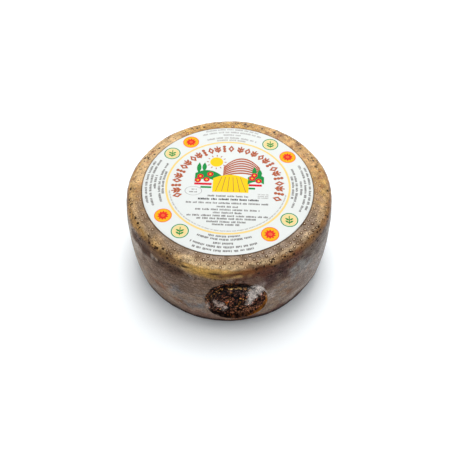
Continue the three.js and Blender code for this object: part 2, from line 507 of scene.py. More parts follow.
def floor_relief(across, up, rho, turn):
    """Height of the burnt floor above its plane: two sunk rings, a ring of notches, crumbs and
    grit, and slow swells."""
    groove = sum(between(rho, inner, outer, GROOVE_EDGE) for inner, outer in GROOVES)
    spoke = np.abs((turn * NOTCHES / (2 * np.pi)) % 1 - 0.5)
    notch = ease(spoke, 0.22, 0.34) * between(rho, 0.78, 0.85, 0.01)
    lumps, grit = crumbs(across, up)[:2]
    spot = np.column_stack([across, up])
    worn = 0.55 + 0.45 * ease(waves(spot, 14, 33), -0.6, 0.6)
    return (-GROOVE_DEPTH * worn * np.maximum(groove, notch) + CRUMB_TALL * lumps
            + GRIT_TALL * grit + 0.22 * waves(spot, 9, 32) - 0.45)


def mark_points(rho, turn):
    """Points of the mark and of the rind just round it. The floor is the plane
    depth + across tan(turn) - up tan(tip) behind the side; between rho 1 and 1 + draft the
    wall climbs back to the rind, which has a low scorched lip."""
    rim = 1 + 0.012 * np.cos(3 * turn + 1) + 0.01 * np.cos(7 * turn)
    rim = rim + 0.006 * waves(np.column_stack([np.cos(turn), np.sin(turn)]) * 30, 5, 35)
    bent = rho * (1 + (rim - 1) * ease(rho, 0.5, 1) * (1 - ease(rho, 1.03, 1.13)))
    across, up = from_polar(bent, turn)
    z = MARK_UP + up
    along = along_at_height(z)
    side = np.interp(along, LENGTH, RADIUS)
    around = MARK_AROUND - np.pi / 2 + np.arcsin(np.clip(across / side, -1, 1))
    lip = 0.4 * np.exp(-((rho - 1.05) / 0.022) ** 2)
    rind = skin(along, around)[0] + lip[:, None] * MARK_OUT
    out = rind @ MARK_OUT
    plane = (side_radius(MARK_UP) - MARK_DEPTH - across * math.tan(MARK_TURN)
             + up * math.tan(MARK_TIP))
    burnt = np.minimum(out, plane) + floor_relief(across, up, rho, turn)
    climb = np.clip((rho - 1) / MARK_DRAFT, 0, 1) ** 0.8
    sunk = (out - burnt) * (1 - climb)
    return rind - sunk[:, None] * MARK_OUT


print(f"mark {2 * MARK_HALF[0]:.0f} x {2 * MARK_HALF[1]:.0f} mm, sunk {MARK_DEPTH} mm")

# %% [markdown]
# ## One closed skin
# The rim with the nubs needs points twice as close as the side, and the mark closer still,
# so the skin is sewn from rings of points: fine rings on the rim, a row where every second
# point is dropped, coarser rings down the side and under the foot, and a window in the side
# whose edge is the first ring of the mark's own web.

# %% Rows of points
COLUMNS = 640
FINE = 2 * COLUMNS
WINDOW_HALF = 35  # columns on each side of the mark's middle
WINDOW_HIGH, WINDOW_LOW = 78, 9.3  # heights of the window's edges
start = MARK_AROUND - np.pi / 2
fine_around = start + np.arange(FINE) / FINE * 2 * np.pi
around = start + np.arange(COLUMNS) / COLUMNS * 2 * np.pi

fine_rows = np.concatenate([[30, 60], np.linspace(NUB_START, NUB_END, 31)])
window_rows = np.linspace(along_at_height(WINDOW_HIGH), along_at_height(WINDOW_LOW), 36)
foot_end = LENGTH[-1] - (SIDE_RADIUS - FOOT_DRAW_IN - FOOT_ROUND)
coarse_rows = np.concatenate([
    np.linspace(NUB_END, window_rows[0], 14)[1:-1], window_rows,
    np.linspace(window_rows[-1], foot_end, 12)[1:], foot_end + np.array([3, 30, 60])])


def ring_points(rows, angles):
    """The skin at every pairing of a length along the outline and an angle round it."""
    along, turn = np.meshgrid(rows, angles, indexing="ij")
    return skin(along.ravel(), turn.ravel())


fine_part = ring_points(fine_rows, fine_around)
coarse_part = ring_points(coarse_rows, around)
print(f"{len(fine_rows)} fine rows of {FINE} and {len(coarse_rows)} coarse rows of {COLUMNS}")

# %% The window and the mark's web
fine_rings = number_rings(2, len(fine_rows), FINE)
coarse_rings = number_rings(2 + fine_rings.size, len(coarse_rows), COLUMNS)
window_top = int(np.argmin(np.abs(coarse_rows - window_rows[0])))
window_bottom = window_top + len(window_rows) - 1
across_window = np.arange(-WINDOW_HALF, WINDOW_HALF + 1)
down_window = np.arange(window_top, window_bottom + 1)
window_edge = np.concatenate([
    coarse_rings[window_top, across_window[:-1]], coarse_rings[down_window[:-1], WINDOW_HALF],
    coarse_rings[window_bottom, across_window[:0:-1]], coarse_rings[down_window[:0:-1], -WINDOW_HALF]])
edge_points = coarse_part[0][window_edge - coarse_rings[0, 0]]
edge_rho, edge_turn = to_polar(edge_points @ MARK_RIGHT, edge_points[:, 2] - MARK_UP)

WEB_OUTER = 1.13
WALL_RINGS = (1.11, 1.085, 1.065, 1.05, 1.04, 1.03, 1.0225, 1.015, 1.0075, 1.0, 0.99, 0.98, 0.965)
shares = np.linspace(0, 1, 6)[1:, None]
inner_rings = np.concatenate([WALL_RINGS, np.linspace(0.95, 0.02, 60)])[:, None]
web_rho = np.concatenate([edge_rho * (1 - shares) + WEB_OUTER * shares,
                          inner_rings * np.ones(len(edge_rho))])
web_turn = np.broadcast_to(edge_turn, web_rho.shape)
web_points = mark_points(web_rho.ravel(), web_turn.ravel())
middle_point = mark_points(np.zeros(1), np.zeros(1))
print(f"web of {web_rho.shape[0]} rings of {web_rho.shape[1]} points")

# %% Sew the skin
poles = np.array([[0, 0, HEIGHT], [0, 0, 0]])
points = np.concatenate([poles, fine_part[0], coarse_part[0], web_points, middle_point])
web_rings = np.vstack([window_edge, number_rings(coarse_rings[-1, -1] + 1, *web_rho.shape)])

column = (np.arange(COLUMNS) + WINDOW_HALF) % COLUMNS
row = np.arange(len(coarse_rows) - 1)[:, None]
in_window = (column < 2 * WINDOW_HALF) & (row >= window_top) & (row < window_bottom)
quads = np.concatenate([ring_quads(fine_rings).reshape(-1, 4), ring_quads(coarse_rings)[~in_window],
                        ring_quads(web_rings).reshape(-1, 4)])

one, two = fine_rings[-1, ::2], fine_rings[-1, 1::2]
three = np.roll(one, -1)
low, low_next = coarse_rings[0], np.roll(coarse_rings[0], -1)
seam = [[one, low, two], [two, low_next, three], [two, low, low_next]]
tris = np.concatenate([np.stack(corners, -1) for corners in seam] + [
    fan(0, fine_rings[0], False), fan(1, coarse_rings[-1], True),
    fan(len(points) - 1, web_rings[-1], True)])
wheel = make_mesh("rind", points, quads, tris)
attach(wheel, "root")
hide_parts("wheel")

# %% [markdown]
# ## Colours of the rind
# The rind's colours follow its history: golden where oil was rubbed in and the wheel lay
# bright side up, brown and nearly purple under the front shoulder, greyer where mould dried
# on the side, and black where the iron burnt it, with brown flakes and a pale powdery bloom.
# They are worked out at each point of the mesh as coats of paint, laid with brushes whose
# edges are soft and wander, and kept as a colour attribute.
# Some coats are painted light and shade: shade under the rim, along the foot, in short creases and
# round the label, and highlights on the front shoulder.

# %% Brushes
ROUND = np.degrees(np.arctan2(points[:, 0], -points[:, 1]))  # 0 in front, 90 on the right
TALL = points[:, 2]
ALONG = np.concatenate([
    [0, LENGTH[-1]], np.repeat(fine_rows, FINE), np.repeat(coarse_rows, COLUMNS),
    along_at_height(np.append(web_points[:, 2], middle_point[:, 2]))])
drift = waves(points, 26, 61) + 0.5 * waves(points, 8, 62)
loose_round = ROUND + 3 * drift
loose_tall = TALL + 2 * drift
loose_along = ALONG + 0.8 * drift


def on_side(left, right, low, high, blur=9, fade=7):
    """A stroke on the side between two angles in degrees and two heights."""
    return between(loose_round, left, right, blur) * between(loose_tall, low, high, fade)


def on_rim(left, right, inner, outer, blur=8, fade=1.5):
    """A stroke on the rim between two angles and two lengths along the outline."""
    return between(loose_round, left, right, blur) * between(loose_along, inner, outer, fade)


def patch(middle_round, middle_tall, half_round, half_tall, loose=1.0, soft=0.7):
    """1 in the middle of an oval on the side and 0 outside it, with a soft edge that
    wanders when it is loose."""
    away = np.hypot((ROUND + loose * (loose_round - ROUND) - middle_round) / half_round,
                    (TALL + loose * (loose_tall - TALL) - middle_tall) / half_tall)
    return 1 - ease(away, 1 - soft, 1 + soft)


def lay(under, colour, share):
    """Paint laid over paint: under (1 - share) + colour share."""
    share = np.clip(share, 0, 1)[:, None]
    return under * (1 - share) + screen_tone(colour) * share


def mottle(size, seed, low, high):
    """Soft blots of a size: 0 below low and 1 above high of a smooth random field."""
    return ease(waves(points, size, seed), low, high)


def coats(under, rows):
    """Lays coats of paint one over another. Each row is a colour's code and its share. A brush
    and what it is given may follow, and then the share is multiplied by its stroke."""
    for colour, share, *brush in rows:
        stroke = brush[0](*brush[1:]) if brush else 1
        under = lay(under, colour, share * stroke)
    return under


# %% The side's paint
behind = ease(np.abs(ROUND), 85, 140)
aside = ease(np.abs(ROUND), 55, 105)
tone = np.tile(screen_tone("8f7968"), (len(points), 1))
tone = coats(tone, [
    # the left, the right and the back
    ("9c8f82", 1, ease, -loose_round, 46, 68),
    ("908177", 1, ease, loose_round, 24, 40),
    ("a09994", 1, ease, loose_round, 44, 68),
    ("9e8a74", behind),
    # blots
    ("705c4e", 0.35, mottle, 24, 64, 0.4, 2.2),
    ("988c82", 0.4, mottle, 18, 65, 0.4, 2.0),
    ("808286", 0.45, mottle, 7, 80, 0.3, 1.8),
    ("7c5c48", 0.45, mottle, 6, 81, 0.7, 2.0),
    # under the shoulder, from the left to the right
    ("b8aca0", 0.75, on_side, -92, -52, 57, 78, 5, 6),
    ("aca6a0", 0.5, on_side, 60, 92, 60, 80, 5, 6),
    ("745e50", 0.8, on_side, -53, -10, 50, 70),
    ("7c6250", 0.8, on_side, -18, 0, 64, 84, 7, 5),
    ("6c4e40", 0.85, on_side, 1, 20, 68, 84, 7, 5),
    ("603826", 0.6, patch, 7, 79, 6, 3),
    ("482f22", 0.92, on_side, -49, -22, 69, 85, 4, 6),
    ("2e1a10", 0.7, patch, -46, 77, 6, 7),
    ("705442", 0.5, patch, -34, 74, 4, 5),
    ("7a7068", 0.85, on_side, 34, 68, 64, 92, 7, 7),
    ("48302e", 0.92, on_side, 17, 32, 60, 86, 6, 7),
    ("544448", 0.7 * on_side(33, 62, 60, 88, 6, 6), mottle, 7, 82, 0.5, 1.4),
    ("8e8f8e", 0.5 * on_side(36, 52, 57, 77, 3, 5), mottle, 9, 86, -1.2, 0.8),
    # small stains, and the lower part
    ("7c4e34", 0.75, patch, -39, 40, 6, 5),
    ("7a523a", 0.75, patch, -27, 29, 5, 4),
    ("6e503e", 0.75, patch, 34, 38, 5, 5),
    ("707072", 0.6, patch, -27, 50, 5, 5),
    ("6e7074", 0.6, patch, -20, 30, 3, 4),
    ("7e5c50", 0.65, on_side, -28, -8, 6, 22, 6, 5),
    ("745848", 0.6, on_side, 30, 48, 6, 16, 6, 4),
    ("7a5840", 0.5, on_side, 28, 44, 26, 44, 6, 6),
    ("807068", 0.6, on_side, 38, 50, 26, 54, 5, 8),
    ("544a50", 0.8, patch, 27, 20, 1.6, 2.6),
    ("a4988e", 0.55, on_side, 36, 62, 15, 27, 6, 4)])

# %% The rim's paint
gold = ease(np.abs(loose_round), 52, 116)
outer_rim = ease(loose_along, 84.5, 88)
shoulder = ease(loose_along, 91.5, 94)
rim = np.tile(screen_tone("8d7b6a"), (len(points), 1))
rim = coats(rim, [
    ("b88942", gold),
    ("806950", 0.6, on_rim, -75, -35, 70, 86),
    ("a88d6c", 0.9 * outer_rim),
    ("a88c6c", 0.8, on_rim, -14, 12, 83.5, 90, 6, 2),
    # painted highlight: a cream crest along the front shoulder
    ("c8ad86", 0.95, on_rim, -21, 22, 87.5, 95, 5),
    ("987c5c", 0.8, on_rim, -50, -26, 85, 92),
    # painted highlight: a thin golden strip along the left shoulder
    ("c4a068", 0.6, on_rim, -58, -24, 88.5, 91.5, 6, 1.2),
    ("c49a5a", outer_rim * gold),
    ("68472f", shoulder),
    ("a47c46", 1, on_rim, -78, -30, 91, 110),
    ("90673c", 0.9, on_rim, 30, 78, 90, 96),
    ("b28e5e", 0.6, on_rim, 14, 28, 91, 95.5, 4),
    ("c0a786", 0.6, on_rim, 32, 66, 86, 89.8, 6),
    ("be9658", 1, on_rim, -26, 16, 93, 97.5, 5),
    ("be9658", 1, on_rim, -26, 6, 93, 110, 5),
    ("986c3c", 0.85 * gold, ease, loose_along, 89.5, 92),
    ("785c42", 0.4 * mottle(9, 66, 0.2, 1.6) * (1 - 0.6 * gold)),
    ("d0a85c", 0.55 * mottle(9, 67, 0.2, 1.6) * gold),
    ("ceae84", 0.7, on_rim, -142, -96, 76, 89.5, 9),
    ("be986a", 0.6, on_rim, 100, 158, 76, 89.5, 10),
    ("925e38", 0.7 * mottle(10, 69, 0.7, 1.8) * gold)])
tone = tone + (rim - tone) * (1 - ease(loose_along - 6 * behind, 95.5, 101.5))[:, None]

# %% Where the rim meets the side, and the foot
# painted shadow line along the foot's undercut
foot_shade_line = 1 - ease(TALL + 0.5 * drift + 5 * aside, 9, 13)
label_edge = np.hypot(*(points[:, :2] - LABEL_CENTRE).T) - LABEL_RADIUS
tone = coats(tone, [
    # the shadowed edge under the rim
    ("54392b", 0.8, on_side, -60, -34, 73, 84.5, 6, 2.5),
    ("603828", 0.88, on_side, 9, 42, 76, 85.5, 4, 2.5),
    ("582e1c", 0.6, on_side, 2, 27, 78, 86, 4, 2.5),
    ("604836", 0.5, on_side, 40, 59, 76, 87, 5, 3),
    ("342021", 0.65, patch, 28.5, 77, 4, 8, 0.6),
    # a painted highlight and gold and brown dabs on the front shoulder, and painted shade in short
    # creases above the mark
    # painted highlight on the gold band
    ("c8a260", 0.8, patch, -15, 84.6, 8, 2.2, 0.4),
    ("b68a3e", 0.8, patch, -10, 81.6, 10, 3.6, 0.4),
    ("76421e", 0.8, patch, 4, 83, 10, 2.0, 0.5),
    # painted shade: dark lines in short creases under the gold band
    ("241208", 0.95, patch, -7, 83.6, 3.2, 0.7, 0.1),
    ("341a0c", 0.9, patch, 4, 83.4, 2.4, 0.8, 0.2),
    ("28180c", 0.95, patch, -22.3, 85, 3, 0.9, 0.2),
    # painted shadow: a dark ring on the rind round the label's edge, where the paper stands proud
    ("422c1a", 0.75 * (1 - ease(np.abs(label_edge - 0.3), 0.4, 1.2)) * (TALL > 60)),
    # the foot: painted shade, darker towards the floor, with a painted dark shadow line along the
    # undercut; then the underside's own colour
    ("523e38", (0.55 - 0.35 * aside) * (1 - ease(loose_tall, 11, 20))),
    ("482e22", 0.8, on_side, 29, 50, 4, 13, 6, 3),
    ("703e30", 0.35, on_side, -10, 30, 4, 14, 6, 3),
    ("1a0a0c", (0.95 - 0.5 * aside) * foot_shade_line),
    ("644e42", 0.8, ease, ALONG, foot_end - 2, foot_end + 4)])

# %% The mark's paint
across, up = points @ MARK_RIGHT, TALL - MARK_UP
rho = np.where(points[:, 1] < 0, to_polar(across, up)[0], 9)
clock = np.degrees(np.arctan2(across, up))  # 0 at the top, 90 on the right
lump, own = crumbs(across, up)[::2]
char = 1 - ease(rho + 0.01 * waves(points, 5, 70), 0.98, 1.01)
left_edge = 1 - ease(np.abs(clock + 84), 20, 42)
scorch = 1 - ease(rho + 0.012 * waves(points, 6, 71), 1.022 - 0.02 * left_edge, 1.045)


def on_mark(inner, outer, left=-180, right=180, blur=15):
    """A stroke on the mark between two distances rho and two clock angles."""
    return between(rho, inner, outer, 0.012) * between(clock, left, right, blur)


HOLLOWS = ((6, 35, 2.8, 6), (-6, 47, 3.6, 6), (9, 55, 7, 3.5), (4, 64, 6, 3))
flake = char * ease(lump, 0.3, 0.55)
ridge = on_mark(0.925, 0.98, -68, 44, 12)
wall = between(rho, 0.996, 1.036, 0.006) * (1 - ease(np.abs(clock - 118), 34, 46))
bloom = np.maximum.reduce([patch(16.4, 59, 3.8, 11, 0.4, 0.55), patch(11.2, 45, 3.0, 13, 0.4, 0.55)])
powder = np.maximum.reduce([
    patch(-6, 41, 1.4, 5, 0.2, 0.6), patch(-4.4, 35, 1.4, 4, 0.2, 0.6),
    patch(-2.4, 28, 1.4, 4, 0.2, 0.6), 0.8 * patch(-11.3, 36, 1.0, 5, 0.2, 0.6)])
tips = mottle(1.6, 84, 0.9, 1.4) * between(TALL, 8, 19, 2) * (1 - ease(np.abs(ROUND - 4), 5, 9))
tone = coats(tone, [
    # char, and the flakes on it
    ("220f0b", 0.95 * scorch * (1 - 0.75 * left_edge)),
    ("0a0505", char),
    ("704234", 0.9 * flake, mottle, 9, 72, -2.2, -0.2),
    ("b07458", 0.85 * flake * (own > 0.5), mottle, 6, 83, -1.0, 0.8),
    ("96746a", 0.6 * patch(6, 56, 5, 6, loose=0.2), ease, lump, 0.1, 0.4),
    ("c88846", 0.85 * flake * (own > 0.93)),
    ("b87c5a", 0.7 * flake * ease(-up, 11, 17), ease, across, -4, 4),
    ("806250", 0.7 * char * ease(-across, 14, 22), mottle, 5, 74, -0.2, 0.8),
    *[("0c0605", 0.6 * char, patch, *oval, 0.3) for oval in HOLLOWS],
    ("966854", 0.7 * on_mark(0.88, 1.02, 128, 180, 12), mottle, 2.2, 85, -0.8, 0.8),
    # the ring of notches
    ("0a0504", 0.75, on_mark, 0.77, 1.0, -80, 50),
    ("8c5032", 0.85 * ridge, mottle, 3, 78, -1.2, 0.6),
    ("b07c46", 0.8 * on_mark(0.78, 0.84, -70, -24) * (own > 0.4), ease, lump, 0.2, 0.5),
    ("0a0504", 0.8, on_mark, 0.71, 0.76, -180, 180),
    # pale inner flakes, an ember and the rusty wall
    ("deb270", 0.95 * on_mark(0.6, 0.7, -52, 16) * ease(lump, 0.35, 0.6) * (own > 0.35)),
    ("ce601a", 0.9, patch, -1.6, 38, 0.8, 1.3, 0.1, 0.5),
    ("b06c24", 0.95 * wall * (0.45 + 0.55 * mottle(5, 79, -1.2, 0.6))),
    # bloom, powder and the rind next to the mark
    ("dcd0c8", bloom * (rho < 1.1), mottle, 2.5, 73, -2.8, -0.8),
    ("ceb8ac", 0.85 * powder, mottle, 2.5, 75, -1.8, 0.2),
    ("b2a69e", 0.7 * patch(22.6, 46, 1.6, 8, 0.15, 0.5), mottle, 3, 76, -1.8, 0.2),
    ("968a86", 0.5 * (1 - char), patch, 15.5, 65.5, 3.6, 3.6, 0.5),
    ("180a08", 0.9, on_mark, 0.99, 1.05, -172, -118, 8),
    ("a86838", 0.7 * tips)])


# %% Keep the paint on the mesh
def keep(piece, name, values):
    """Stores a number or a colour for each point of a piece's mesh."""
    if values.ndim == 1:
        stored = piece.data.attributes.new(name, "FLOAT", "POINT")
        stored.data.foreach_set("value", values.astype(np.float32))
    else:
        stored = piece.data.attributes.new(name, "FLOAT_COLOR", "POINT")
        full = np.column_stack([values, np.ones(len(values))])
        stored.data.foreach_set("color", full.astype(np.float32).ravel())


in_mark = np.zeros(web_rho.size + 1)
near_nub = np.concatenate([[9, 9], fine_part[1], coarse_part[1], in_mark + 9])
nub_size = np.concatenate([[0, 0], fine_part[2], coarse_part[2], in_mark])
in_front = 1 - ease(np.abs(ROUND - 24), 34, 62)
nub_shown = np.maximum(in_front, 0.35 + 0.2 * behind + 0.4 * mottle(16, 68, -0.6, 0.8))
oil = gold * (1 - ease(ALONG, 96, 104)) + 0.5 * shoulder * (1 - ease(ALONG, 97, 103))
specks = ease(ALONG, 87, 91) * (1 - ease(loose_along, 101, 113)) * (1 - 0.4 * gold)
specks = specks * (1 - 0.85 * on_rim(-27, 10, 80, 103))
specks = np.maximum(specks, 0.65 * gold * between(ALONG, 81, 97, 2))
for name, values in {
        "tone": tone, "char": char * (1 - 0.8 * np.maximum(bloom, powder)),
        "specks": np.clip(specks, 0, 1) * (1 - scorch), "oil": np.clip(oil, 0, 1),
        "near_nub": near_nub, "nub_size": nub_size * nub_shown,
        "wrinkled": on_side(-50, -2, 44, 72, 12, 9) + 0.5 * on_side(16, 50, 50, 84, 9, 9)}.items():
    keep(wheel, name, values)
print(f"paint: mean colour {np.round(tone.mean(0), 3)}")

# %% [markdown]
# ## The rind's finish
# The kept paint gives the broad colours. Over it go what is finer than the mesh: a grain like
# dried leather, streaks left by wiping the wheel as it turned, wrinkles, pores, dark specks
# and short cracks on the shoulder, a dark ring round each nub that is partly painted shade, a
# pale crown on each nub that is partly worn and partly a painted highlight, and gritty crumbs
# in the mark. The same patterns raise the surface a little.

# %% Patterns of the rind
finish, shader, wire = material("rind", {"Specular IOR Level": 0.07, "Coat Roughness": 0.28})


def kept(name, output=2):
    """A value kept at the points of the mesh."""
    return wire.node("Attribute", {}, output, attribute_name=name)


paint, burnt, speckled, oiled = kept("tone", 0), kept("char"), kept("specks"), kept("oil")
near, size, wrinkled = kept("near_nub"), kept("nub_size"), kept("wrinkled")
fine = grain(wire, 1.0, detail=4, rough=0.8)
streak = grain(wire, 1.3, stretch=(5, 5, 1), detail=3, rough=0.6)
wrinkle = grain(wire, 1.5, stretch=(2.6, 2.6, 0.9), detail=3)
cloud = grain(wire, 7, detail=3, rough=0.6)
cluster = grain(wire, 11, detail=1)
place = wire.node("TexCoord", {}, 3)
BEND = 1.6 * MM  # how far, and how often, spots are pulled out of round
wander = wire.node("TexNoise", {"Vector": place, "Scale": 1 / BEND}, 1)
bent_place = wire.node("VectorMath", {0: wander, 1: (BEND,) * 3, 2: place}, operation="MULTIPLY_ADD")


def spots(length, low, high, stretch=(1, 1, 1), where=bent_place):
    """Small spots, one in each cell of the given length: 1 in the middle and 0 outside."""
    return 1 - wire.texture("Voronoi", where, length, stretch).eased(low, high)


crack = spots(3.0, 0.22, 0.35, (1.6, 1.6, 1)) * cluster.eased(0.4, 0.48)
pit = spots(2.1, 0.18, 0.36, (1.3, 1.3, 1)) * cloud.eased(0.45, 0.54)
pepper = spots(2.5, 0.16, 0.3) * cluster.eased(0.35, 0.5)
dark_specks = (crack + pit + pepper) * speckled
pores = spots(1.1, 0.1, 0.4, where=place) * fine.eased(0.45, 0.65)
crumb = spots(1.3, 0.12, 0.62, (1, 1, 1.5)) * burnt
fleck = spots(3.1, 0.08, 0.2) * cloud.eased(0.45, 0.5) * speckled
# ring: a dark halo round each nub's foot, partly the rind's own colour and partly painted shade
ring = near.eased(0.45, 0.8) * (1 - near.eased(1.15, 1.7)) * size
# crown: each nub's pale top, partly worn and partly a painted highlight
crown = (1 - near.eased(0.35, 0.7)) * size
print("patterns:", len(wire.tree.nodes), "nodes so far")

# %% Rind material
dull = 1 - oiled - speckled * 0.4
contrast = 2.8 + 1.2 * dull + 2.4 * burnt
colour = paint
for factor in (1 + (fine - 0.5) * contrast, 0.2 + 1.6 * streak, 0.6 + 0.8 * cloud,
               1 + wrinkled * (wrinkle * 1.8 - 0.9),
               1 + burnt * (cluster.eased(0.3, 0.6) * 0.3 - 0.75) + 2.2 * crumb):
    colour = colour.brighter(factor)
# the nub ring's tint is partly painted shade, and the crown's tint is partly a painted highlight
for tint, share in (("54341e", ring * (0.9 - 0.4 * oiled)),
                    ("bea692", fleck * 0.5 * (1 - oiled)),
                    ("f2dcb4", crown * 0.75),
                    ("221209", dark_specks.eased(0.2, 0.7) * 0.92),
                    ("4a382c", pores * (0.3 + 0.35 * speckled) * (1 - burnt))):
    colour = colour.tint(screen_tone(tint), share)
rough = 0.58 + 0.25 * fine - 0.2 * oiled + 0.1 * burnt
height = 0.16 * fine + 0.1 * streak + 0.2 * wrinkled * wrinkle
height = height - 0.2 * dark_specks - 0.1 * pores + 0.5 * crumb
colour.feed(shader, "Base Color")
rough.feed(shader, "Roughness")
(oiled * 0.4 + crown * 0.5).feed(shader, "Coat Weight")
bumps(wire, height, shader)
wheel.data.materials.append(finish)
print("rind nodes:", len(wire.tree.nodes))

# %% [markdown]
# ## The paper label
# A disc of thin glossy paper lies on the upper face. Its surface is a grid of rings, very
# slightly wavy where the paper has taken up moisture, closed by a thin edge and a flat back.

# %% Paper
COLUMNS_OF_PAPER = 360


def paper_top(x, y):
    """Height of the paper's printed face: flat, with swells of a few hundredths."""
    flat = HEIGHT + LABEL_GAP + LABEL_THICK
    return flat - 0.04 + 0.02 * waves(np.column_stack([x, y]), 34, 51)


def make_paper():
    """Rings from the middle out, over the rounded edge and back underneath to the middle."""
    turn = np.arange(COLUMNS_OF_PAPER) * 2 * np.pi / COLUMNS_OF_PAPER
    rings = np.concatenate([np.linspace(0.5, LABEL_RADIUS - 0.1, 40), [LABEL_RADIUS] * 2,
                            [LABEL_RADIUS - 0.1, 40, 0.5]])
    depth = np.repeat([0, 0.06, 0.24, 0.3], [40, 1, 1, 3])
    x = LABEL_CENTRE[0] + np.outer(rings, np.cos(turn)).ravel()
    y = LABEL_CENTRE[1] + np.outer(rings, np.sin(turn)).ravel()
    back = HEIGHT + LABEL_GAP
    share = np.repeat(depth, COLUMNS_OF_PAPER) / LABEL_THICK
    z = paper_top(x, y) * (1 - share) + back * share
    middle = np.array([[*LABEL_CENTRE, paper_top(*LABEL_CENTRE[:, None])[0]], [*LABEL_CENTRE, back]])
    numbers = number_rings(2, len(rings), COLUMNS_OF_PAPER)
    tris = np.concatenate([fan(0, numbers[0], False), fan(1, numbers[-1], True)])
    points = np.concatenate([middle, np.column_stack([x, y, z])])
    return make_mesh("paper_label", points, ring_quads(numbers), tris)


paper = make_paper()
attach(paper, "root")
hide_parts("label")

# %% Paper material
finish, shader, wire = material("coated_paper", {"Coat Roughness": 0.25, "Coat Weight": 0.3})
fibre = grain(wire, 0.7, detail=3, rough=0.7)
dimple = grain(wire, 9)
white = fibre.ramp(0.3, screen_tone("cbcecb"), 0.7, screen_tone("d4d7d4"))
white.feed(shader, "Base Color")
(0.45 + 0.15 * fibre).feed(shader, "Roughness")
bumps(wire, 0.01 * fibre + 0.06 * dimple, shader)
paper.data.materials.append(finish)

# %% [markdown]
# ## The print
# Each ink is a thin film of closed chips that follow the paper, one piece for each colour, so
# that edges stay sharp however near one looks. A chip is a strip between two rails, given a
# top, a bottom and walls. The print is an ornament band and a farm landscape of the maker's
# own, rows of tiny blocks that read as grey lines from afar, and plain round seals.

# %% Chips of ink
PRINT_CENTRE = np.array([-1.0, 0.2])
PRINT_TURN = math.radians(2.6)  # clockwise
INK_LAYER = 0.02
chips = {}


def at(radius, clock):
    """The place at a radius and a clock angle in degrees, 0 at the far side of the label."""
    angle = np.radians(clock)
    return np.stack([radius * np.sin(angle), radius * np.cos(angle)], -1)


def ink(colour, left, right, layer=1, wrap=False):
    """Adds a chip between two rails of places, (N, 2) each; wrap joins its two ends."""
    left, right = np.asarray(left, float), np.asarray(right, float)
    step = np.diff((left + right) / 2, axis=0)
    across = (right - left)[:-1]
    if (across[:, 0] * step[:, 1] - across[:, 1] * step[:, 0]).sum() < 0:
        left, right = right, left
    chips.setdefault(colour, []).append((left, right, layer, wrap))


def disc(colour, centre, radius, layer=1, points=24):
    """A round chip: rails at half chords on either side of its width."""
    t = np.linspace(0.04, np.pi - 0.04, points)
    x, y = -radius * np.cos(t), radius * np.sin(t)
    centre = np.asarray(centre)
    ink(colour, centre + np.stack([x, y], -1), centre + np.stack([x, -y], -1), layer)


def hoop(colour, centre, outer, inner, layer=1, points=48, squash=1):
    """A closed ring between two circles, or ovals when squashed."""
    t = np.arange(points) / points * 2 * np.pi
    way = np.stack([np.cos(t), squash * np.sin(t)], -1)
    ink(colour, np.asarray(centre) + outer * way, np.asarray(centre) + inner * way, layer, True)


def leaf(colour, root, tip, width, layer=1, points=7):
    """A pointed leaf: its half width is that of a sine between root and tip."""
    root, tip = np.asarray(root, float), np.asarray(tip, float)
    t = np.linspace(0.03, 0.97, points)[:, None]
    way = (tip - root) / np.hypot(*(tip - root))
    side = np.array([-way[1], way[0]]) * width / 2 * np.sin(np.pi * t)
    ink(colour, root + (tip - root) * t + side, root + (tip - root) * t - side, layer)


def bar(colour, start, end, width, layer=1):
    """A straight bar."""
    start, end = np.asarray(start, float), np.asarray(end, float)
    way = (end - start) / np.hypot(*(end - start))
    side = np.array([-way[1], way[0]]) * width / 2
    ink(colour, [start + side, end + side], [start - side, end - side], layer)


def film(colour):
    """All chips of a colour as arrays of points and quads. A chip's cross-section is the loop
    left top, right top, right bottom, left bottom."""
    c, s = math.cos(PRINT_TURN), math.sin(PRINT_TURN)
    spun = np.array([[c, -s], [s, c]])
    points, quads, count = [], [], 0
    for left, right, layer, wrap in chips[colour]:
        n = len(left)
        flat = np.stack([left, right, right, left], 1).reshape(-1, 2) @ spun + PRINT_CENTRE
        lift = np.tile([layer, layer, -0.3, -0.3], n) * INK_LAYER
        points.append(np.column_stack([flat, paper_top(*flat.T) + lift]))
        loops = number_rings(count, n, 4)
        closed = np.vstack([loops, loops[:1]]) if wrap else loops
        quads.append(ring_quads(closed)[..., [0, 3, 2, 1]].reshape(-1, 4))
        if not wrap:
            quads.append(np.stack([loops[0, [0, 3, 2, 1]], loops[-1, [1, 2, 3, 0]]]))
        count += 4 * n
    return np.concatenate(points), np.concatenate(quads)


# %% The gold ring and the rows of tiny blocks
RING = 56.5
hoop("gold", (0, 0), RING + 0.95, RING - 0.95, points=180)
draw = np.random.default_rng(7)


def block_row(colour, place, half, tall):
    """A row of tiny blocks in groups of three to eight. Place turns a distance along the row
    and a height above it into a place on the label."""
    pitch = 0.58 * tall
    here, group = -half, 0
    while here < half:
        if group == 0:
            group = draw.integers(3, 9)
            here += pitch
            continue
        group -= 1
        low, high = -0.5 * tall, (0.5 - 0.3 * draw.random()) * tall
        wide = pitch * (0.62 + 0.3 * draw.random())
        ink(colour, [place(here, high), place(here + wide, high)],
            [place(here, low), place(here + wide, low)])
        here += pitch


def along_arc(radius, clock):
    """Places for a row that runs clockwise round the label, centred on a clock angle."""
    return lambda along, high: at(radius + high, clock + np.degrees(along / radius))


def along_line(height, middle=0.0):
    """Places for a straight row at a height on the label, on both sides of its middle."""
    return lambda along, high: np.array([middle + along, height + high])


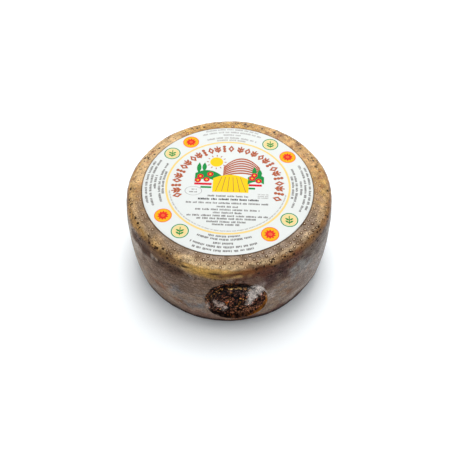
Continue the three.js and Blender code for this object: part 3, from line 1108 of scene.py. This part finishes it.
for quarter in (0, 90, 180, 270):
    for radius, degrees in ((75.0, 20.5), (71.0, 24), (67.2, 7.5), (63.1, 22.5), (59.8, 14)):
        block_row("grey" if quarter else "pale_grey", along_arc(radius, quarter),
                  math.radians(degrees) * radius, 2.3)
block_row("pale_grey", along_arc(53.8, 180), math.radians(80) * 53.8, 1.3)
for height, half in ((-13.6, 19), (-22.0, 38), (-26.2, 10), (-29.7, 29), (-33.2, 13),
                     (-36.7, 36), (-39.9, 27), (-43.4, 18), (-46.5, 13)):
    block_row("grey", along_line(height), half, 2.2)
block_row("black", along_line(-17.5), 27.5, 2.3)
for height in (-10.4, -12.6, -14.6):
    block_row("pale_grey", along_line(height, 31.9), 5.2, 1.4)
hoop("grey", (-31.1, -8.4), 7.8, 7.4, squash=0.69)
block_row("grey", along_line(-6.4, -31.1), 2.6, 1.6)
block_row("grey", along_line(-9.6, -31.1), 4.6, 1.6)

# %% The ornament band
BAND = 47.45


def motif(kind, clock):
    """One of three ornaments 6 mm wide and 9 mm tall: a lozenge, a grain ear, three dots."""
    def bent(along, high):
        """A place along the bent band and above its middle line."""
        return at(BAND + high, clock + np.degrees(along / BAND))
    if kind == 0:
        x, y = np.array([0, 3.0, 0, -3.0]), np.array([4.6, 0, -4.6, 0])
        ink("brown", bent(x, y), bent(0.36 * x, 0.4 * y), wrap=True)
    elif kind == 1:
        bar("brown", bent(0, -4.5), bent(0, 4.5), 1.3)
        for low in (-3.6, -0.6):
            for side in (-1, 1):
                leaf("brown", bent(0.3 * side, low), bent(3.1 * side, low + 3.8), 2.3)
    else:
        for high in (-3.1, 0, 3.1):
            disc("brown", bent(0, high), 1.6, points=12)


for first, last, count in ((-107.6, -55.6, 8), (-46.6, 1.4, 7), (12.4, 29.4, 3), (38.9, 108.4, 10)):
    for i, clock in enumerate(np.linspace(first, last, count)):
        motif(i % 3 if count > 3 else (i + 1) % 2, clock)

# %% Seals
SEAL_RADIUS = 7.8
for quarter in (0, 90, 180, 270):
    spot = at(67.4, quarter - 35)
    disc("orange", spot, SEAL_RADIUS, 1, 40)
    disc("amber", spot, 7.1, 2, 40)
    for k in range(10):
        leaf("scarlet", spot, spot + at(5.3, 36 * k), 2.4, 3)
    disc("orange", spot, 1.7, 4, 14)
    spot = at(67.5, quarter + 35)
    hoop("green", spot, SEAL_RADIUS, 6.9, 1, 40)
    disc("cream", spot, 6.6, 1, 36)
    bar("green", spot + (0, -4.6), spot + (0, 4.4), 0.8, 2)
    for low in (-3.4, -0.6):
        for side in (-1, 1):
            leaf("green", spot + (0, low), spot + (3.6 * side, low + 2.6), 1.8, 2)

# %% The landscape
SUN = (-12, 29)


def hill(colour, span, crest, bend, middle, deep):
    """A strip as deep all along, under the parabola crest - bend (x - middle)^2."""
    x = np.linspace(*span)
    top = crest - bend * (x - middle) ** 2
    ink(colour, np.stack([x, top], -1), np.stack([x, top - deep], -1))


disc("yellow", SUN, 6.2, 1, 36)
for k in range(12):
    bar("brown", SUN + at(7.4, 30 * k), SUN + at(9.4, 30 * k), 0.9)
for k in range(7):
    hill("brown", (-5, 29, 18), 35 - 3.1 * k, 0.042 * (1 - 0.1 * k), 12, 1.9)
hill("green", (-31, -3, 14), 18, 0.035, -20, 11)
hill("green", (18, 33, 9), 14, 0.06, 26, 9)
for x, y, tall in ((-28, 14, 14), (-23, 16, 12), (24, 11, 13), (29, 10, 11)):
    leaf("green", (x, y), (x, y + tall), 4.2, 2, 9)
x = np.linspace(-14, 19, 14)
top = 13 - 0.02 * (x - 2) ** 2
ink("yellow", np.stack([x, top], -1), np.stack([x, 0 * x - 9], -1))
for k in range(6):
    bar("brown", (-11 + 5.5 * k, -8), (-6 + 3.4 * k, 10), 0.5, 2)
for x, y in ((-26, 10), (-20, 6), (-28, 5), (-17, 13), (22, 9), (28, 6), (24, 13)):
    disc("red", (x, y), 2.9, 2, 16)
    disc("yellow", (x, y), 1.0, 3, 10)
for side in (-1, 1):
    bar("red", (17 * side + 2, 0.5), (31 * side, 0.5), 2.6)
    bar("green", (17 * side + 2, -3.5), (25 * side, -3.5), 2.2)

# %% Ink pieces
INKS = {"brown": "a65638", "green": "008438", "red": "c81026",
        "yellow": "e4c000", "amber": "e2a600", "gold": "e4c67a",
        "orange": "e25c24", "scarlet": "da2816", "grey": "7a7876",
        "pale_grey": "a6a4a2", "black": "3e3c3c", "cream": "dec88c"}
for colour, code in INKS.items():
    piece = make_mesh(f"print_{colour}", *film(colour))
    piece.data.shade_flat()
    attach(piece, "root")
    finish, shader, wire = material(f"ink_{colour}", {"Specular IOR Level": 0.12})
    press = grain(wire, 0.5, detail=2)
    solid = screen_tone(code)
    press.ramp(0.3, 0.92 * solid, 0.7, 1.06 * solid).feed(shader, "Base Color")
    (0.35 + 0.2 * press).feed(shader, "Roughness")
    piece.data.materials.append(finish)
